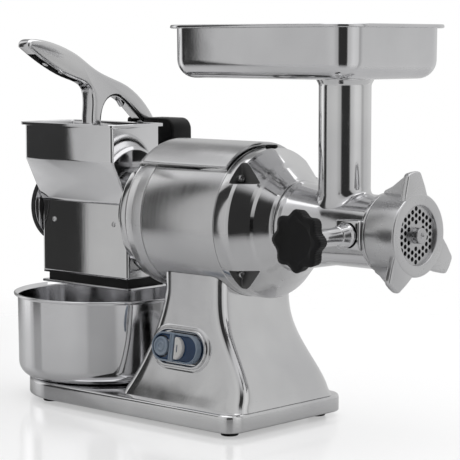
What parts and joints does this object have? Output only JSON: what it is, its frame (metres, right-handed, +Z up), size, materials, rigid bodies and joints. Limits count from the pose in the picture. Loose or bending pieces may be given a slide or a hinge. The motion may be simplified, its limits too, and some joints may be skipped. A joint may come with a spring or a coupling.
{
  "type": "electric meat grinder",
  "caption": "Bench electric mincer with a feed tray and ring-nut outlet at one end of its motor and a hopper grater with a pressing lever and catch bowl at the other.",
  "frame": {"origin": "middle of the whole machine's box, on the worktop plane under the rubber feet", "axes": "+X along the motor shaft towards the mincer outlet, -Y towards the switch, +Z up"},
  "size_m": [0.591, 0.2423, 0.4473],
  "materials": {
    "polished_casting": "polished cast aluminium, bright",
    "satin_casting": "satin, finely turned aluminium",
    "polished_steel": "mirror polished stainless steel",
    "brushed_steel": "brushed stainless steel sheet",
    "machine_steel": "plain ground steel",
    "gear_steel": "hardened dark steel",
    "lamination_steel": "stacked electrical steel and varnished copper",
    "black_rubber": "matt black rubber",
    "black_plastic": "black glass-filled plastic",
    "switch_grey": "cloudy blue-grey plastic",
    "switch_blue": "dark blue moulded plastic",
    "button_white": "white moulded plastic",
    "circuit_green": "circuit board laminate and parts",
    "capacitor_grey": "light grey plastic can",
    "brass": "turned brass"
  },
  "bodies": {
    "stand": {"base_column": "polished_casting", "base_cover": "brushed_steel", "cover_screws": "machine_steel", "rubber_feet": "black_rubber", "control_board": "circuit_green", "run_capacitor": "capacitor_grey", "cable_gland": "black_plastic", "switch_bezel": "polished_casting", "switch_block": "switch_blue", "barrel_tube": "brushed_steel", "vent_cowl": "polished_steel", "grater_end_cap": "satin_casting", "stator": "lamination_steel", "motor_bearings": "machine_steel", "tie_screws": "machine_steel", "gear_plate": "satin_casting", "gear_housing": "polished_casting", "breather_plug": "black_plastic", "gear_bearings": "machine_steel", "grater_neck": "satin_casting", "drum_housing": "brushed_steel", "hopper": "polished_steel", "outlet_collar": "black_plastic", "safety_grille": "polished_steel", "hinge_housing": "black_plastic", "hinge_pin": "machine_steel", "housing_screws": "machine_steel", "mincer_body": "polished_casting"},
    "rotor": {"rotor_core": "lamination_steel", "motor_shaft": "machine_steel", "cooling_fan": "black_plastic", "motor_pinion": "gear_steel", "grating_drum": "brushed_steel"},
    "layshaft": {"intermediate_wheel": "gear_steel", "layshaft_pinion": "gear_steel"},
    "feed_screw": {"output_wheel": "gear_steel", "auger": "satin_casting", "cutter_knife": "machine_steel"},
    "press": {"press_lever": "polished_casting", "press_plate": "polished_casting"},
    "end_cover": {"drum_cover": "polished_steel", "cover_grip": "black_plastic", "cover_seal": "black_rubber"},
    "start_key": {"start_button": "switch_grey"},
    "stop_key": {"stop_button": "button_white"},
    "bowl": {"catch_bowl": "polished_steel"},
    "tray": {"feed_tray": "polished_steel"},
    "plate": {"hole_plate": "machine_steel"},
    "nut": {"ring_nut": "satin_casting"},
    "pad": {"clamp_pad": "brass"},
    "knob": {"clamp_screw": "machine_steel", "star_knob": "black_plastic"}
  },
  "joints": [
    {"name": "rotor_spin", "type": "hinge", "parent": "stand", "child": "rotor", "pos_m": [0.0235, 0.01065, 0.228], "axis": [1, 0, 0], "continuous": true},
    {"name": "layshaft_spin", "type": "hinge", "parent": "stand", "child": "layshaft", "pos_m": [0.0935, 0.01065, 0.19237], "axis": [1, 0, 0], "continuous": true},
    {"name": "feed_screw_spin", "type": "hinge", "parent": "stand", "child": "feed_screw", "pos_m": [0.1735, 0.01065, 0.228], "axis": [1, 0, 0], "continuous": true},
    {"name": "press_hinge", "type": "hinge", "parent": "stand", "child": "press", "pos_m": [-0.17995, 0.07685, 0.322], "axis": [-1, 0, 0], "range_deg": [0, 90]},
    {"name": "end_cover_pull", "type": "slide", "parent": "stand", "child": "end_cover", "axis": [-1, 0, 0], "range_m": [0, 0.08]},
    {"name": "start_push", "type": "slide", "parent": "stand", "child": "start_key", "axis": [0, 0.9903, -0.1392], "range_m": [0, 0.003], "stiffness_N_per_m": 600, "springref_m": -0.002},
    {"name": "stop_push", "type": "slide", "parent": "stand", "child": "stop_key", "axis": [0, 0.9903, -0.1392], "range_m": [0, 0.003], "stiffness_N_per_m": 600, "springref_m": -0.002},
    {"name": "bowl_slide", "type": "slide", "parent": "stand", "child": "bowl", "axis": [0, -1, 0], "range_m": [0, 0.25]},
    {"name": "tray_lift", "type": "slide", "parent": "stand", "child": "tray", "axis": [0, 0, 1], "range_m": [0, 0.08]},
    {"name": "plate_slide", "type": "slide", "parent": "stand", "child": "plate", "axis": [1, 0, 0], "range_m": [0, 0.03]},
    {"name": "nut_turn", "type": "hinge", "parent": "plate", "child": "nut", "pos_m": [0.2915, 0.01065, 0.228], "axis": [-1, 0, 0], "range_deg": [0, 2160]},
    {"name": "pad_slide", "type": "slide", "parent": "stand", "child": "pad", "axis": [0, -1, 0], "range_m": [0, 0.0045]},
    {"name": "knob_turn", "type": "hinge", "parent": "pad", "child": "knob", "pos_m": [0.2332, -0.10335, 0.228], "axis": [0, -1, 0], "range_deg": [0, 1080]}
  ],
  "couplings": [
    {"joint": "layshaft_spin", "follows": "rotor_spin", "ratio": -0.32558},
    {"joint": "feed_screw_spin", "follows": "rotor_spin", "ratio": 0.106},
    {"joint": "plate_slide", "follows": "nut_turn", "m_per_rad": 0.00063662},
    {"joint": "pad_slide", "follows": "knob_turn", "m_per_rad": 0.00023873}
  ]
}
